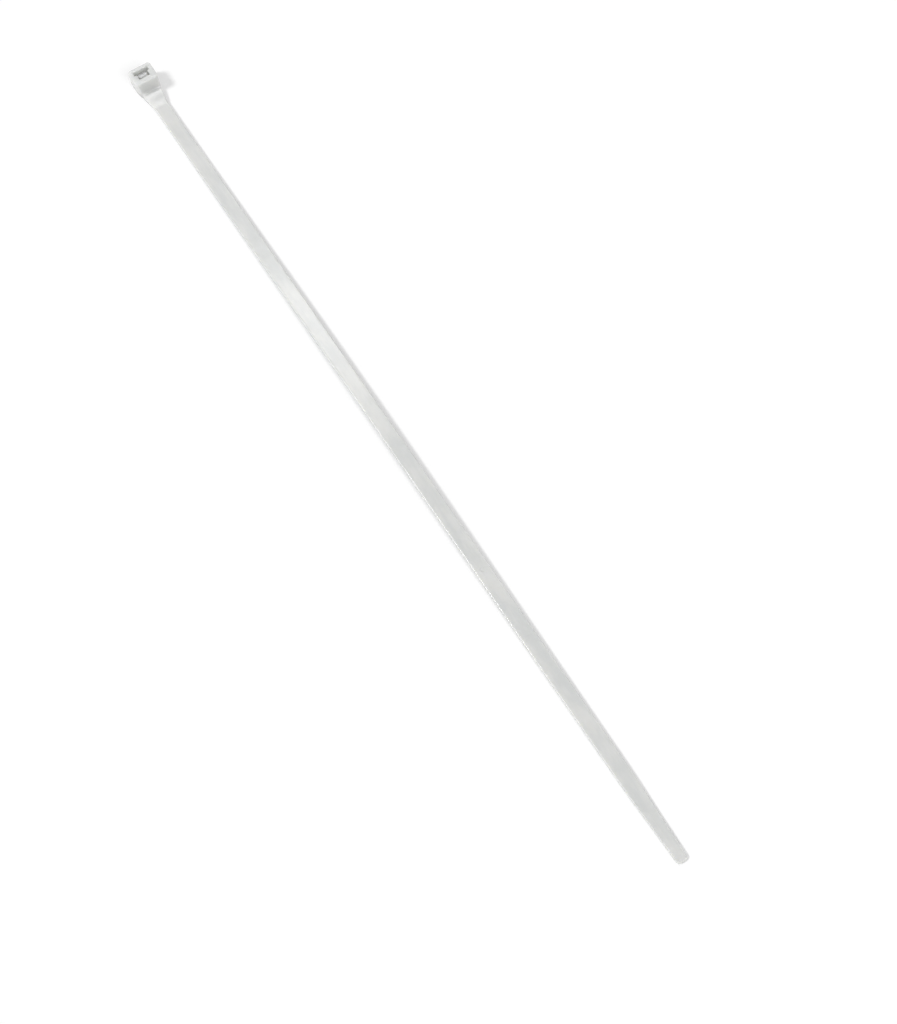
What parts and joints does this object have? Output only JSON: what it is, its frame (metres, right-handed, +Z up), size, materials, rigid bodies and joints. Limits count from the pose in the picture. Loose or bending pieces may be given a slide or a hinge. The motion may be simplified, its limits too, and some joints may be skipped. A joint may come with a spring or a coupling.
{
  "type": "cable tie",
  "caption": "Moulded cable tie: a box head with a locking slot and a hinged pawl, a flat strap toothed on its underside, and a thin tapered tail.",
  "frame": {"origin": "middle of the locking slot, in the entry face of the head, which is the plane that the tie lies on", "axes": "+X along the strap from the head to the tip of the tail, +Y across the strap, +Z up out of the exit face, the way a tail leaves the slot; the teeth face down"},
  "size_m": [0.3, 0.008, 0.006],
  "materials": {
    "natural_nylon": "satin"
  },
  "bodies": {
    "root": {"cable_tie": "natural_nylon"}
  },
  "joints": []
}
